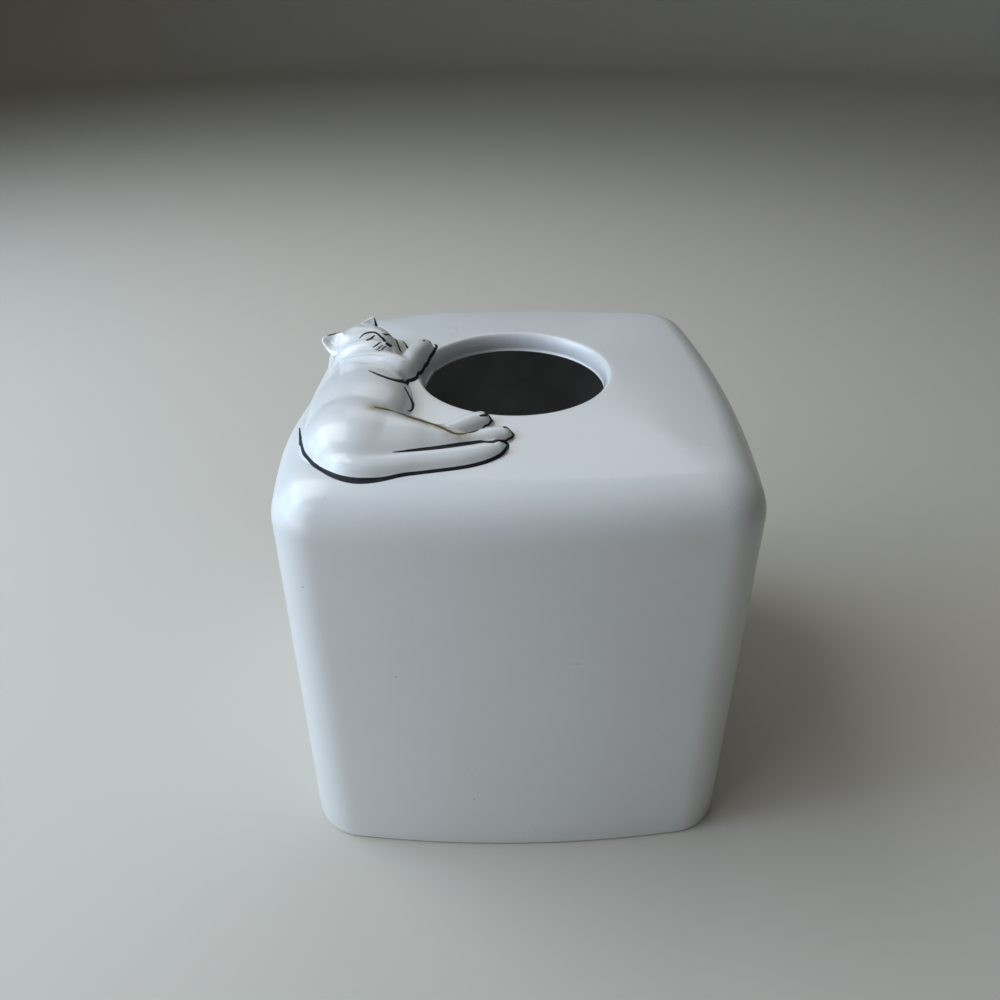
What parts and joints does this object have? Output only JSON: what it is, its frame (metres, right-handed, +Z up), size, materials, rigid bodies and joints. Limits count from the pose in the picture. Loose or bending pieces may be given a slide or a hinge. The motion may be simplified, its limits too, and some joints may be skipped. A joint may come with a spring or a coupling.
{
  "type": "tissue box cover",
  "caption": "Glazed ceramic cover for a cube tissue box, open underneath, with a round hole and a sleeping cat in relief on its roof.",
  "frame": {"origin": "centre of the open foot, on the surface the cover stands on", "axes": "+Z up through the tissue hole, +X to the right and +Y to the back as seen from the front, the side the cat's tail lies along"},
  "size_m": [0.1458, 0.1458, 0.1484],
  "materials": {
    "cover_glaze": "semi-gloss off-white glaze outside, matt black inside",
    "cat_glaze": "semi-gloss off-white glaze with brushed black lines"
  },
  "bodies": {
    "root": {"cover_shell": "cover_glaze", "cat_torso": "cat_glaze", "cat_haunch": "cat_glaze", "cat_hind_leg_far": "cat_glaze", "cat_tail": "cat_glaze", "cat_foreleg_near": "cat_glaze", "cat_forepaw_far": "cat_glaze", "cat_head": "cat_glaze", "cat_ear_left": "cat_glaze", "cat_ear_right": "cat_glaze"}
  },
  "joints": []
}
